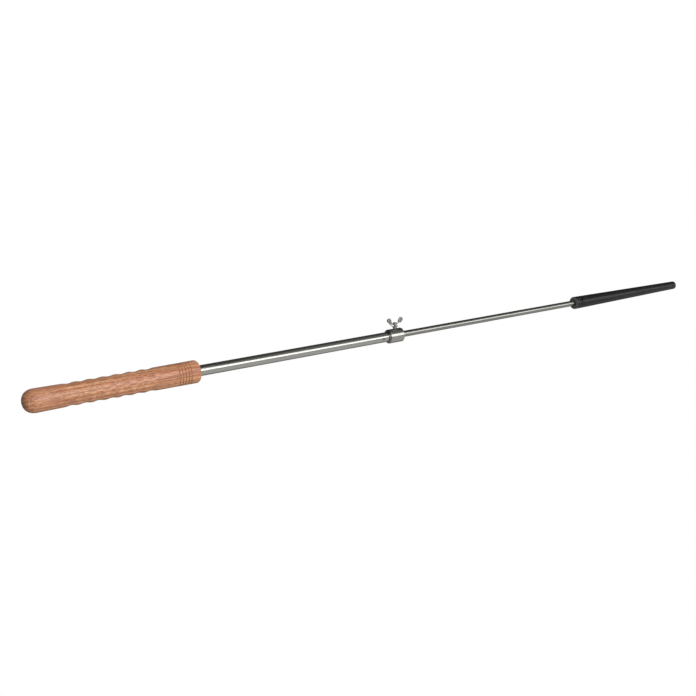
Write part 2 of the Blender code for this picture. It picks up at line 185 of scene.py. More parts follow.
def stretched_noise(
    material: Material,
    place: Socket,
    size: Sequence[float],
    detail: float,
    roughness: float = 0.6,
) -> Node:
    """Add a noise whose marks have a size of their own along each axis.

    Args:
        material: The material.
        place: Coordinates socket.
        size: Size of the marks along X, Y and Z.
        detail: How much finer noise is laid over it.
        roughness: How strong the finer noise is.

    Returns:
        The noise node.
    """
    scaled = add_node(material, "ShaderNodeMapping",
                      values={"Scale": [1 / length for length in size]},
                      links={"Vector": place})
    return add_node(material, "ShaderNodeTexNoise",
                    values={"Scale": 1.0, "Detail": detail, "Roughness": roughness},
                    links={"Vector": scaled.outputs[0]})


def work_surface(
    material: Material,
    shader: Node,
    pattern: Socket,
    roughness: Pair,
    height: Socket,
    relief: Pair,
    span: Pair = (0.0, 1.0),
) -> None:
    """Drive a shader's roughness and its bumps from two patterns.

    Args:
        material: The material.
        shader: Its Principled shader.
        pattern: Pattern that the roughness follows.
        roughness: Roughness at the low and at the high end of the span.
        height: Pattern that the bumps follow.
        relief: Strength and depth of the bumps.
        span: Values of the pattern that the two roughnesses belong to.
    """
    rough = add_node(material, "ShaderNodeMapRange", {},
                     {"From Min": span[0], "From Max": span[1],
                      "To Min": roughness[0], "To Max": roughness[1]}, {"Value": pattern})
    link(material, rough.outputs[0], shader.inputs["Roughness"])
    bump = add_node(material, "ShaderNodeBump",
                    values={"Strength": relief[0], "Distance": relief[1]},
                    links={"Height": height})
    link(material, bump.outputs[0], shader.inputs["Normal"])


@dataclass(frozen=True)
class BeechFinish:
    """Steamed beech, turned and oiled: growth bands, fine streaks, short dark ray flecks."""

    late_wood: str = "996343"
    early_wood: str = "b3805d"
    pale_wood: str = "bf8d69"
    red_wood: str = "ae765b"
    fleck: str = "744632"
    roughness: float = 0.34
    oil_index: float = 1.47
    pith: Triple = (0.0, 0.020, 0.085)
    ring_spacing: float = 4.4 * MM
    bend_size: Pair = (91.0 * MM, 36.0 * MM)
    bend_reach: float = 2.2 * MM
    band_size: Pair = (90.0 * MM, 9.0 * MM)
    band_redness: Pair = (0.1, 0.85)
    streak_size: Pair = (80.0 * MM, 1.2 * MM)
    streak_strength: float = 0.75
    fibre_size: Pair = (10.0 * MM, 0.5 * MM)
    fibre_share: float = 0.45
    fleck_size: Pair = (3.4 * MM, 0.8 * MM)
    fleck_crowding: float = 0.62
    fleck_strength: float = 0.4
    relief: Pair = (0.35, 0.06 * MM)

    def along_grain(self, wood: Material, place: Socket, size: Pair, detail: float) -> Node:
        """Add a noise that is drawn out along the handle.

        Args:
            wood: The material.
            place: Coordinates socket.
            size: Length and width of its marks.
            detail: How much finer noise is laid over it.

        Returns:
            The noise node.
        """
        length, width = size
        return stretched_noise(wood, place, (length, width, width), detail)

    def growth(self, wood: Material, place: Socket) -> Socket:
        """Colour the growth rings, and the broad redder bands that steaming leaves.

        The pith lies well outside the handle: that gives long bands on its sides, arcs on its
        butt, and a flat-sawn figure on the side that faces the pith.

        Args:
            wood: The material.
            place: Coordinates socket.

        Returns:
            The colour's socket.
        """
        bend = self.along_grain(wood, place, self.bend_size, 2.0)
        centred = add_node(wood, "ShaderNodeVectorMath", {"operation": "SUBTRACT"},
                           {1: (0.5, 0.5, 0.5)}, {0: bend.outputs["Color"]})
        # Slow bends of the grain, so that no band runs quite straight.
        bent = add_node(wood, "ShaderNodeVectorMath", {"operation": "MULTIPLY_ADD"},
                        {1: (0.0, self.bend_reach, self.bend_reach)},
                        {0: centred.outputs[0], 2: place})
        pith = add_node(wood, "ShaderNodeMapping", {"vector_type": "TEXTURE"},
                        {"Location": self.pith}, {"Vector": bent.outputs[0]})
        rings = add_node(
            wood, "ShaderNodeTexWave",
            {"wave_type": "RINGS", "rings_direction": "X", "wave_profile": "SAW"},
            {"Scale": 2 * math.pi / (20 * self.ring_spacing), "Distortion": 0.0},
            {"Vector": pith.outputs[0]})
        growth = add_node(wood, "ShaderNodeValToRGB", links={"Fac": rings.outputs["Fac"]})
        set_ramp(growth, [(0.0, linear(self.pale_wood)), (0.55, linear(self.early_wood)),
                          (0.90, linear(self.late_wood)), (1.0, linear(self.early_wood))])
        bands = self.along_grain(wood, bent.outputs[0], self.band_size, 1.0)
        redness = add_node(wood, "ShaderNodeMapRange", {"clamp": True},
                           {"From Min": 0.44, "From Max": 0.62,
                            "To Min": self.band_redness[0], "To Max": self.band_redness[1]},
                           {"Value": bands.outputs["Fac"]})
        reddened = add_node(wood, "ShaderNodeMix", {"data_type": "RGBA"},
                            {7: linear(self.red_wood)},
                            {0: redness.outputs[0], 6: growth.outputs["Color"]})
        return reddened.outputs[2]

    def flecks(self, wood: Material, place: Socket) -> Socket:
        """Give the mask of the short dark rays, drawn longer than their 2 mm.

        Args:
            wood: The material.
            place: Coordinates socket.

        Returns:
            The mask's socket.
        """
        length, width = self.fleck_size
        scaled = add_node(wood, "ShaderNodeMapping",
                          values={"Scale": (1 / length, 1 / width, 1 / width)},
                          links={"Vector": place})
        cells = add_node(wood, "ShaderNodeTexVoronoi", {"feature": "F1"},
                         {"Scale": self.fleck_crowding, "Randomness": 1.0},
                         {"Vector": scaled.outputs[0]})
        mask = add_node(wood, "ShaderNodeMapRange", {"clamp": True},
                        {"From Min": 0.22, "From Max": 0.50, "To Min": self.fleck_strength,
                         "To Max": 0.0}, {"Value": cells.outputs["Distance"]})
        return mask.outputs[0]

    def material(self) -> Material:
        """Build the material."""
        wood, shader, place = new_material("steamed_beech_turned_and_oiled")
        growth = self.growth(wood, place)
        # Streaks and fine fibres along the handle.
        streaks = self.along_grain(wood, place, self.streak_size, 3.0).outputs["Fac"]
        fibre = self.along_grain(wood, place, self.fibre_size, 2.0).outputs["Fac"]
        texture = add_node(wood, "ShaderNodeMix", {"data_type": "FLOAT"},
                           {0: self.fibre_share}, {2: streaks, 3: fibre})
        sharper = add_node(wood, "ShaderNodeMapRange", {"clamp": True},
                           {"From Min": 0.38, "From Max": 0.62}, {"Value": texture.outputs[0]})
        streaked = add_node(wood, "ShaderNodeMix",
                            {"data_type": "RGBA", "blend_type": "SOFT_LIGHT"},
                            {0: self.streak_strength}, {6: growth, 7: sharper.outputs[0]})
        flecks = self.flecks(wood, place)
        coloured = add_node(wood, "ShaderNodeMix", {"data_type": "RGBA"},
                            {7: linear(self.fleck)}, {0: flecks, 6: streaked.outputs[2]})
        link(wood, coloured.outputs[2], shader.inputs["Base Color"])
        # Fibres and flecks take the oil differently, and stand up or lie lower.
        height = add_node(wood, "ShaderNodeMath", {"operation": "SUBTRACT"}, {},
                          {0: fibre, 1: flecks})
        work_surface(wood, shader, sharper.outputs[0],
                     (self.roughness + 0.1, self.roughness - 0.05),
                     height.outputs[0], self.relief)
        shader.inputs["IOR"].default_value = self.oil_index
        return wood


@dataclass(frozen=True)
class SteelFinish:
    """Stainless steel, worked round its axis: fine rings of polish or turning, light smears."""

    name: str = "polished_stainless_steel_tube"
    colour: str = "c2c1bc"
    dull_colour: str = "b0afaa"
    roughness: float = 0.16
    roughness_spread: float = 0.12
    line_spacing: float = 0.5 * MM
    line_length: float = 40.0 * MM
    line_depth: float = 0.0015 * MM
    smear_length: float = 35.0 * MM
    smear_width: float = 8.3 * MM
    axis: Axis = Axis.ALONG
    # Painted shade with some grime: steel nearer the axis than this radius, as in punched stakes
    # and the bore, is darkened.
    shade_and_grime_radius: float = 0.0
    shade_and_grime_colour: str = "2e2c2a"

    def with_painted_shade_and_grime(self, steel: Material, place: Socket, clean: Socket) -> Socket:
        """Darken what lies nearer the axis than the shade and grime radius, such as punched marks
        and the bore: painted shade for the recesses, with some grime.

        Args:
            steel: The material.
            place: Coordinates socket.
            clean: Colour of the clean steel.

        Returns:
            The colour's socket.
        """
        across = add_node(steel, "ShaderNodeVectorMath", {"operation": "MULTIPLY"},
                          {1: (0.0, 1.0, 1.0)}, {0: place})
        radius = add_node(steel, "ShaderNodeVectorMath", {"operation": "LENGTH"}, {},
                          {0: across.outputs[0]})
        # Painted shade with some grime: the further below the radius, the darker the steel.
        depth = add_node(steel, "ShaderNodeMapRange", {"clamp": True},
                         {"From Min": self.shade_and_grime_radius - 0.2 * MM,
                          "From Max": self.shade_and_grime_radius, "To Min": 0.9, "To Max": 0.0},
                         {"Value": radius.outputs["Value"]})
        darkened = add_node(steel, "ShaderNodeMix", {"data_type": "RGBA"},
                            {7: linear(self.shade_and_grime_colour)}, {0: depth.outputs[0], 6: clean})
        return darkened.outputs[2]

    def material(self) -> Material:
        """Build the material."""
        steel, shader, place = new_material(self.name)
        # Lines of the polishing belt or the turning tool, which run round the piece.
        line_size = [self.line_length] * 3
        line_size[0 if self.axis is Axis.ALONG else 2] = self.line_spacing
        lines = stretched_noise(steel, place, line_size, 3.0, 0.7).outputs["Fac"]
        # Smears and handling marks, longer than they are wide.
        smear_size = (self.smear_length, self.smear_width, self.smear_width)
        smears = stretched_noise(steel, place, smear_size, 4.0).outputs["Fac"]
        tone = add_node(steel, "ShaderNodeMix", {"data_type": "RGBA"},
                        {6: linear(self.colour), 7: linear(self.dull_colour)}, {0: smears})
        colour = tone.outputs[2]
        if self.shade_and_grime_radius:
            colour = self.with_painted_shade_and_grime(steel, place, colour)
        link(steel, colour, shader.inputs["Base Color"])
        mixed = add_node(steel, "ShaderNodeMath", {"operation": "MULTIPLY"}, {},
                         {0: smears, 1: lines})
        work_surface(steel, shader, mixed.outputs[0],
                     (self.roughness, self.roughness + self.roughness_spread),
                     lines, (0.5, self.line_depth), span=(0.12, 0.40))
        shader.inputs["Metallic"].default_value = 1.0
        return steel


@dataclass(frozen=True)
class NonStickFinish:
    """Sprayed and baked matte black non-stick coating: fine orange peel, a rear edge painted
    lighter, partly as rubbed coating and partly as a painted highlight.
    """

    colour: str = "131314"
    worn_colour: str = "2b2b2d"
    roughness: float = 0.37
    sheen_level: float = 0.32
    grain: float = 0.45 * MM
    patch_size: float = 9.0 * MM
    relief: Pair = (0.4, 0.03 * MM)
    rubbed_and_highlight_colour: str = "6f6e6c"
    rubbed_and_highlight_width: float = 0.5 * MM
    rubbed_and_highlight_share: float = 0.75

    def material(self, edge_x: float) -> Material:
        """Build the material.

        Args:
            edge_x: Where the cone's rear face is, whose edge is painted lighter, partly as wear and
                partly as a painted highlight.

        Returns:
            The material.
        """
        coat, shader, place = new_material("baked_black_non_stick_coating")
        peel = stretched_noise(coat, place, [self.grain] * 3, 2.0, 0.5).outputs["Fac"]
        patches = stretched_noise(coat, place, [self.patch_size] * 3, 5.0, 0.65).outputs["Fac"]
        wear = add_node(coat, "ShaderNodeMapRange", {"clamp": True},
                        {"From Min": 0.48, "From Max": 0.72, "To Min": 0.0, "To Max": 0.55},
                        {"Value": patches})
        tone = add_node(coat, "ShaderNodeMix", {"data_type": "RGBA"},
                        {6: linear(self.colour), 7: linear(self.worn_colour)},
                        {0: wear.outputs[0]})
        # The rear face and its edge are painted lighter: partly rubbed thin, as they are set down
        # and pushed against, and partly a painted highlight on the rounded rim.
        parts = add_node(coat, "ShaderNodeSeparateXYZ", links={0: place})
        rubbed_and_highlight = add_node(coat, "ShaderNodeMapRange", {"interpolation_type": "SMOOTHSTEP"},
                          {"From Min": edge_x, "From Max": edge_x + self.rubbed_and_highlight_width,
                           "To Min": self.rubbed_and_highlight_share, "To Max": 0.0},
                          {"Value": parts.outputs["X"]})
        coloured = add_node(coat, "ShaderNodeMix", {"data_type": "RGBA"},
                            {7: linear(self.rubbed_and_highlight_colour)},
                            {0: rubbed_and_highlight.outputs[0], 6: tone.outputs[2]})
        link(coat, coloured.outputs[2], shader.inputs["Base Color"])
        work_surface(coat, shader, patches, (self.roughness - 0.08, self.roughness + 0.10),
                     peel, self.relief)
        shader.inputs["Specular IOR Level"].default_value = self.sheen_level
        return coat


@dataclass(frozen=True)
class MouldedFinish:
    """Moulded or turned small part: one colour with fine surface grain."""

    name: str
    colour: str
    second_colour: str
    roughness: float
    metallic: float = 0.0
    grain: float = 0.4 * MM
    relief: Pair = (0.3, 0.02 * MM)

    def material(self) -> Material:
        """Build the material."""
        moulded, shader, place = new_material(self.name)
        grain = stretched_noise(moulded, place, [self.grain] * 3, 3.0, 0.5).outputs["Fac"]
        tone = add_node(moulded, "ShaderNodeMix", {"data_type": "RGBA"},
                        {6: linear(self.colour), 7: linear(self.second_colour)}, {0: grain})
        link(moulded, tone.outputs[2], shader.inputs["Base Color"])
        work_surface(moulded, shader, grain, (self.roughness - 0.06, self.roughness + 0.06),
                     grain, self.relief)
        shader.inputs["Metallic"].default_value = self.metallic
        return moulded


# ---- Modelling with operators ----


def deselect_all() -> None:
    """Leave edit mode and select nothing, since an operator acts on all that is selected."""
    if bpy.context.object is not None and bpy.context.object.mode != "OBJECT":
        bpy.ops.object.mode_set(mode="OBJECT")
    bpy.ops.object.select_all(action="DESELECT")


def make_active(piece: Object) -> None:
    """Select one object alone and make it the active one."""
    deselect_all()
    piece.select_set(True)
    bpy.context.view_layer.objects.active = piece


def apply_modifier(piece: Object, kind: str, **settings: Any) -> None:
    """Add a modifier, set it up and apply it.

    Args:
        piece: Object to change.
        kind: Modifier type.
        **settings: Properties of the modifier.
    """
    make_active(piece)
    modifier = piece.modifiers.new(kind.lower(), kind)
    for name, value in settings.items():
        setattr(modifier, name, value)
    bpy.ops.object.modifier_apply(modifier=modifier.name)


def cut(piece: Object, cutter: Object, operation: str = "DIFFERENCE") -> None:
    """Cut one object out of another, or join it on, and remove the tool.

    Args:
        piece: Object to change.
        cutter: Closed object that is used up.
        operation: DIFFERENCE or UNION.
    """
    apply_modifier(piece, "BOOLEAN", operation=operation, solver="EXACT", object=cutter)
    bpy.data.objects.remove(cutter)


def smooth(piece: Object) -> None:
    """Shade an object smooth, with its corners sharp."""
    make_active(piece)
    bpy.ops.object.shade_smooth_by_angle(angle=SMOOTH_ANGLE)


def draw_outline(points: Sequence[Vector]) -> None:
    """In edit mode, start at a primitive's middle and extrude its vertex from point to point.

    Args:
        points: Places that the line goes through.
    """
    bpy.ops.mesh.primitive_plane_add(size=MM, location=points[0])
    bpy.ops.object.mode_set(mode="EDIT")
    bpy.ops.mesh.select_mode(type="VERT")
    bpy.ops.mesh.select_all(action="SELECT")
    bpy.ops.mesh.merge(type="CENTER")
    for start, end in zip(points, points[1:]):
        bpy.ops.mesh.extrude_region_move(TRANSFORM_OT_translate={"value": end - start})


def turn(name: str, outline: Outline, sides: int, axis: Axis = Axis.ALONG,
         closed: bool = False) -> Object:
    """Turn a piece as on a lathe: draw half its section and spin it round the axis.

    Args:
        name: Name of the new object.
        outline: Points of the section as (distance along the axis, radius).
        sides: Number of steps round the axis.
        axis: Axis that the section is spun about.
        closed: Whether the section closes on itself, as a tube's does.

    Returns:
        The turned object, at the origin.
    """
    deselect_all()
    ring = outline + outline[:1] if closed else outline
    if axis is Axis.ALONG:
        points = [Vector((along, 0.0, radius)) for along, radius in ring]
    else:
        points = [Vector((radius, 0.0, along)) for along, radius in ring]
    draw_outline(points)
    bpy.ops.mesh.select_all(action="SELECT")
    bpy.ops.mesh.spin(steps=sides, angle=2 * math.pi, center=(0.0, 0.0, 0.0), axis=axis.value)
    bpy.ops.mesh.select_all(action="SELECT")
    bpy.ops.mesh.remove_doubles(threshold=MERGE_DISTANCE)
    bpy.ops.mesh.select_all(action="SELECT")
    bpy.ops.mesh.normals_make_consistent(inside=False)
    bpy.ops.object.mode_set(mode="OBJECT")
    bpy.ops.object.transform_apply(location=True, rotation=True, scale=True)
    piece = bpy.context.object
    piece.name = name
    return piece


def dress(piece: Object, material: Material, body: Body, slot: str, *nodes: str) -> Object:
    """Give a finished piece its material, its body and the frame nodes that it stands for.

    Args:
        piece: The finished object.
        material: Its material.
        body: Body that it rides on.
        slot: The record's material slot; not used.
        *nodes: Frame nodes that it replaces.

    Returns:
        The same object.
    """
    piece.data.materials.clear()
    piece.data.materials.append(material)
    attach(piece, body.value)
    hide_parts(*nodes)
    log.info("%s: %d faces on %s", piece.name, len(piece.data.polygons), body.value)
    return piece


def arc(along: float, out: float, radius: float, start: float, end: float, steps: int) -> Outline:
    """Give the points of an arc in a section.

    Args:
        along: Centre's distance along the axis.
        out: Centre's distance from the axis.
        radius: Radius of the arc.
        start: Angle of its first point in degrees, where 0 points along and 90 outwards.
        end: Angle of its last point in degrees.
        steps: Number of steps.

    Returns:
        The points, both ends included.
    """
    angles = [math.radians(start + (end - start) * i / steps) for i in range(steps + 1)]
    return [(along + radius * math.cos(a), out + radius * math.sin(a)) for a in angles]


def mix(start: float, end: float, share: float) -> float:
    """Go a share of the way from start to end."""
    return start + (end - start) * share


# ---- Sub-assemblies ----


@dataclass
class Handle:
    """Turned beech handle: domed butt, seven finger waves, five fine rings, rounded front."""

    finish: BeechFinish = field(default_factory=BeechFinish)
    sides: int = 128
    dome_length: float = 13.5 * MM
    dome_power: float = 2.25
    butt_radius: float = 13.0 * MM
    neck_radius: float = 12.6 * MM
    grip_end_radius: float = 12.95 * MM
    front_radius: float = 13.2 * MM
    waves: int = 7
    wave_pitch: float = 14.8 * MM
    wave_depth: float = 0.95 * MM
    waves_start: float = 42.5 * MM
    rings: int = 5
    ring_pitch: float = 3.45 * MM
    ring_width: float = 1.6 * MM
    ring_depth: float = 0.8 * MM
    first_ring: float = 171.0 * MM
    ring_steps: int = 6
    edge_radius: float = 4.0 * MM
    bore_radius: float = 6.38 * MM
    mouth_chamfer: float = 0.35 * MM
    bore_depth: float = 101.9 * MM

    def dome(self) -> Outline:
        """Give the butt's outline, from its full radius to the axis."""
        steps = 28
        power = 2.0 / self.dome_power
        points = []
        for step in range(steps, -1, -1):
            angle = math.pi / 2 * step / steps
            points.append((self.dome_length * (1 - math.cos(angle) ** power),
                           self.butt_radius * math.sin(angle) ** power))
        return points

    def grip(self) -> Outline:
        """Give the finger waves' outline, from the front one to the rear one."""
        steps = self.waves * 14
        points = []
        for step in range(steps, -1, -1):
            share = step / steps
            crest = mix(self.neck_radius, self.grip_end_radius, share)
            dip = self.wave_depth * (1 - math.cos(2 * math.pi * self.waves * share)) / 2
            along = self.waves_start + share * self.waves * self.wave_pitch
            points.append((along, crest - dip))
        return points

    def ring_grooves(self, length: float) -> Outline:
        """Give the fine rings' outline, from the front one to the rear one.

        Args:
            length: Length of the handle.

        Returns:
            The points of the five rounded V-grooves.
        """
        waves_end = self.waves_start + self.waves * self.wave_pitch
        span = length - self.edge_radius - waves_end
        points = []
        for ring in range(self.rings - 1, -1, -1):
            middle = self.first_ring + ring * self.ring_pitch
            for step in range(self.ring_steps, -self.ring_steps - 1, -2):
                across = step / self.ring_steps
                along = middle + across * self.ring_width / 2
                plain = mix(self.grip_end_radius, self.front_radius, (along - waves_end) / span)
                dip = self.ring_depth * (1 + math.cos(math.pi * across)) / 2
                points.append((along, plain - dip))
        return points

    def build(self) -> Object:
        """Turn and dress the handle."""
        low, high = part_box("handle")
        length = high.x - low.x
        bore_end = length - self.bore_depth
        outline: Outline = [
            (bore_end, 0.0),
            (bore_end, self.bore_radius),
            (length - self.mouth_chamfer, self.bore_radius),
            (length, self.bore_radius + self.mouth_chamfer),
        ]
        outline += arc(length - self.edge_radius, self.front_radius - self.edge_radius,
                       self.edge_radius, 0, 90, 12)
        outline += self.ring_grooves(length) + self.grip() + self.dome()
        placed = [(low.x + along, radius) for along, radius in outline]
        piece = turn("beech_handle", placed, self.sides)
        smooth(piece)
        return dress(piece, self.finish.material(), Body.HANDLE, "beech", "handle")


@dataclass
class TubeAndCollar:
    """Outer tube with its stake marks, and the clamp collar on its end."""

    # The tube's finish paints shade, with some grime, into the stake marks and the bore.
    tube_finish: SteelFinish = field(
        default_factory=lambda: SteelFinish(shade_and_grime_radius=6.28 * MM))
    collar_finish: SteelFinish = field(default_factory=lambda: SteelFinish(
        name="fine_turned_stainless_steel", colour="bcbbb6", dull_colour="a8a7a1",
        roughness=0.18, roughness_spread=0.12, line_spacing=0.35 * MM, line_depth=0.005 * MM))
    sides: int = 96
    wall: float = 1.0 * MM
    edge: float = 0.25 * MM
    stake_back: float = 9.2 * MM
    stake_size: Triple = (1.9 * MM, 0.75 * MM, 0.95 * MM)
    spigot_length: float = 14.0 * MM
    spigot_radius: float = 5.05 * MM
    spigot_chamfer: float = 0.3 * MM
    bore_radius: float = 4.1 * MM
    bore_chamfer: float = 0.4 * MM
    rear_chamfer: float = 1.7 * MM
    rear_edge: float = 0.4 * MM
    glue_line: float = 0.02 * MM
    front_edge: float = 0.8 * MM
    hole_radius: float = 2.3 * MM
    hole_chamfer: float = 0.25 * MM
    screw_from_rear: float = 12.0 * MM

    def build_tube(self) -> Object:
        """Turn the tube and press the two stakes into it."""
        low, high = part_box("outer_tube")
        radius = high.z
        collar_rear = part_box("clamp_collar")[0].x + self.spigot_length
        high.x = collar_rear - self.glue_line
        outline = [
            (high.x, radius - self.edge),
            *arc(high.x - self.edge, radius - self.edge, self.edge, 0, 90, 3)[1:],
            *arc(low.x + self.edge, radius - self.edge, self.edge, 90, 180, 3),
            (low.x, radius - self.wall),
            (high.x, radius - self.wall),
        ]
        tube = turn("polished_tube", outline, self.sides, closed=True)
        for side in (-1.0, 1.0):
            deselect_all()
            place = (collar_rear - self.stake_back, side * radius, 0.0)
            bpy.ops.mesh.primitive_uv_sphere_add(segments=24, ring_count=12, radius=1.0,
                                                 location=place, scale=self.stake_size)
            cut(tube, bpy.context.object)
        smooth(tube)
        return dress(tube, self.tube_finish.material(), Body.HANDLE, "tube_steel", "outer_tube")

    def build_collar(self) -> Object:
        """Turn the collar and drill its cross hole."""
        low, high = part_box("clamp_collar")
        radius = high.z
        rear = low.x + self.spigot_length
        outline = [
            (high.x - self.bore_chamfer, self.bore_radius),
            (high.x, self.bore_radius + self.bore_chamfer),
            *arc(high.x - self.front_edge, radius - self.front_edge, self.front_edge, 0, 90, 6),
            *arc(rear + self.rear_chamfer + self.rear_edge / 2, radius - self.rear_edge,
                 self.rear_edge, 90, 135, 4),
            (rear, radius - self.rear_chamfer),
            (rear, self.spigot_radius),
            (low.x + self.spigot_chamfer, self.spigot_radius),
            (low.x, self.spigot_radius - self.spigot_chamfer),
            (low.x, self.bore_radius),
        ]
        collar = turn("turned_collar", outline, self.sides, closed=True)
        drill_outline = [
            (2 * radius, 0.0),
            (2 * radius, self.hole_radius + self.hole_chamfer + radius),
            (radius - self.hole_chamfer, self.hole_radius),
            (0.0, self.hole_radius),
            (0.0, 0.0),
        ]
        drill = turn("drill", drill_outline, 48, Axis.UP)
        drill.location.x = rear + self.screw_from_rear
        cut(collar, drill)
        smooth(collar)
        return dress(collar, self.collar_finish.material(), Body.HANDLE, "collar_steel",
                     "clamp_collar")


@dataclass
class WingScrew:
    """M4 wing screw: threaded shank, round hub, two wings with a hollow in each face."""

    finish: SteelFinish = field(default_factory=lambda: SteelFinish(
        name="tumbled_cast_stainless_steel", colour="bcbbb6", dull_colour="a3a29d",
        roughness=0.10, roughness_spread=0.10, line_spacing=1.4 * MM, line_depth=0.02 * MM,
        smear_length=4.0 * MM, axis=Axis.UP))
    pitch: float = 0.7 * MM
    crest_radius: float = 2.0 * MM
    root_radius: float = 1.6 * MM
    crest_gain: float = 1.15
    tip_taper: float = 0.6 * MM
    tip_share: float = 0.95
    steps_per_turn: int = 12
    shank_sides: int = 48
    hub_height: float = 6.9 * MM
    hub_base_radius: float = 2.7 * MM
    hub_top_radius: float = 2.6 * MM
    hub_edge: float = 0.25 * MM
    wing_thickness: float = 2.7 * MM
    wing_taper: Pair = (1.4, 0.6)
    wing_edge: float = 0.55 * MM
    dish_size: Triple = (4.2 * MM, 1.0 * MM, 2.1 * MM)
    dish_place: Pair = (5.2 * MM, 5.5 * MM)
    dish_lean: float = math.radians(-44.0)
    dish_tilt: float = math.radians(22.0)
    span: float = 23.2 * MM
    wing_height: float = 13.6 * MM
    lobe_radius: float = 2.9 * MM
    root: Pair = (1.9 * MM, 0.25 * MM)
    valley: Pair = (4.2 * MM, 6.3 * MM)
    angle: float = math.radians(-4.0)
    voxel: float = 0.14 * MM

    def build_shank(self, low: float, high: float) -> Object:
        """Turn the shank and cut its right-hand thread.

        Args:
            low: Height of its tip.
            high: Height where it goes into the hub.

        Returns:
            The shank, round the world's Z axis.
        """
        steps = round((high - low) / self.pitch * self.steps_per_turn)
        heights = [mix(high, low, step / steps) for step in range(steps + 1)]
        outline = [(high, 0.0), *((z, self.crest_radius) for z in heights), (low, 0.0)]
        shank = turn("shank", outline, self.shank_sides, Axis.UP)
        for vertex in shank.data.vertices:
            place = vertex.co
            out = math.hypot(place.x, place.y)
            if out < self.root_radius:
                continue
            turns = (place.z - low) / self.pitch - math.atan2(place.y, place.x) / (2 * math.pi)
            ridge = abs(2 * (turns % 1.0) - 1)
            radius = mix(self.root_radius, self.crest_radius, min(1.0, ridge * self.crest_gain))
            taper = min(1.0, (place.z - low) / self.tip_taper)
            radius = mix(self.root_radius * self.tip_share, radius, taper)
            place.x *= radius / out
            place.y *= radius / out
        return shank

    def lobe(self) -> list[Vector]:
        """Give the right wing's rounded end as points (across, 0, height) over the hub's base."""
        centre = Vector((self.span / 2 - self.lobe_radius, self.wing_height - self.lobe_radius))
        angles = []
        for point, side in ((self.root, 1.0), (self.valley, -1.0)):
            towards = Vector(point) - centre
            lean = math.acos(self.lobe_radius / towards.length)
            angles.append(math.atan2(towards.y, towards.x) + side * lean)
        low, high = angles[0], angles[1] + 2 * math.pi
        steps = 24
        points = []
        for step in range(steps + 1):
            angle = mix(low, high, step / steps)
            points.append(Vector((centre.x + self.lobe_radius * math.cos(angle), 0.0,
                                  centre.y + self.lobe_radius * math.sin(angle))))
        return points

    def build_wings(self) -> Object:
        """Draw both wings' outline, fill it, make it thicker at its foot, and round its edges."""
        right = [Vector((self.root[0], 0.0, self.root[1])), *self.lobe(),
                 Vector((self.valley[0], 0.0, self.valley[1]))]
        left = [Vector((-point.x, 0.0, point.z)) for point in reversed(right)]
        deselect_all()
        draw_outline(right + left)
        bpy.ops.mesh.select_all(action="SELECT")
        bpy.ops.mesh.edge_face_add()
        bpy.ops.mesh.extrude_region_move(
            TRANSFORM_OT_translate={"value": (0.0, self.wing_thickness, 0.0)})
        bpy.ops.mesh.select_all(action="SELECT")
        bpy.ops.transform.translate(value=(0.0, -self.wing_thickness / 2, 0.0))
        bpy.ops.mesh.normals_make_consistent(inside=False)
        bpy.ops.object.mode_set(mode="OBJECT")
        bpy.ops.object.transform_apply(location=True, rotation=True, scale=True)
        wings = bpy.context.object
        for vertex in wings.data.vertices:
            vertex.co.y *= mix(*self.wing_taper, vertex.co.z / self.wing_height)
        apply_modifier(wings, "BEVEL", width=self.wing_edge, segments=4, limit_method="ANGLE",
                       angle_limit=math.radians(60.0))
        return wings

    def dish(self, head: Object) -> None:
        """Press a shallow hollow, whose floor faces up a little, in each face of each wing.

        Args:
            head: Hub and wings in one mesh, with the wings along X.
        """
        for across in (-1.0, 1.0):
            for face in (-1.0, 1.0):
                deselect_all()
                place = (across * self.dish_place[0], face * self.wing_thickness / 2,
                         self.dish_place[1])
                bpy.ops.mesh.primitive_uv_sphere_add(
                    segments=32, ring_count=16, radius=1.0, location=place,
                    rotation=(face * self.dish_tilt, across * self.dish_lean, 0.0),
                    scale=self.dish_size)
                cut(head, bpy.context.object)

    def build_head(self) -> Object:
        """Join the hub and the wings and let the joints flow together as in a casting."""
        edge = self.hub_edge
        outline = [
            (self.hub_height, 0.0),
            *arc(self.hub_height - edge, self.hub_top_radius - edge, edge, 0, 90, 4),
            *arc(edge, self.hub_base_radius - edge, edge, 90, 180, 4),
            (0.0, 0.0),
        ]
        head = turn("head", outline, 64, Axis.UP)
        cut(head, self.build_wings(), "UNION")
        self.dish(head)
        apply_modifier(head, "REMESH", mode="VOXEL", voxel_size=self.voxel, adaptivity=0.0)
        apply_modifier(head, "SMOOTH", factor=0.5, iterations=4)
        return head

    def build(self) -> Object:
        """Build the screw where the frame's wing screw stands."""
        low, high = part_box("wing_screw")
        middle_x = (low.x + high.x) / 2
        hub_base = high.z - self.wing_height
        shank = self.build_shank(low.z, hub_base + self.hub_height / 2)
        head = self.build_head()
        head.location.z = hub_base
        make_active(shank)
        head.select_set(True)
        bpy.ops.object.join()
        screw = bpy.context.object
        screw.name = "wing_screw_cast"
        screw.rotation_euler.z = self.angle
        screw.location.x = middle_x
        make_active(screw)
        bpy.ops.object.transform_apply(location=True, rotation=True, scale=True)
        smooth(screw)
        return dress(screw, self.finish.material(), Body.WING, "wing_steel", "wing_screw")


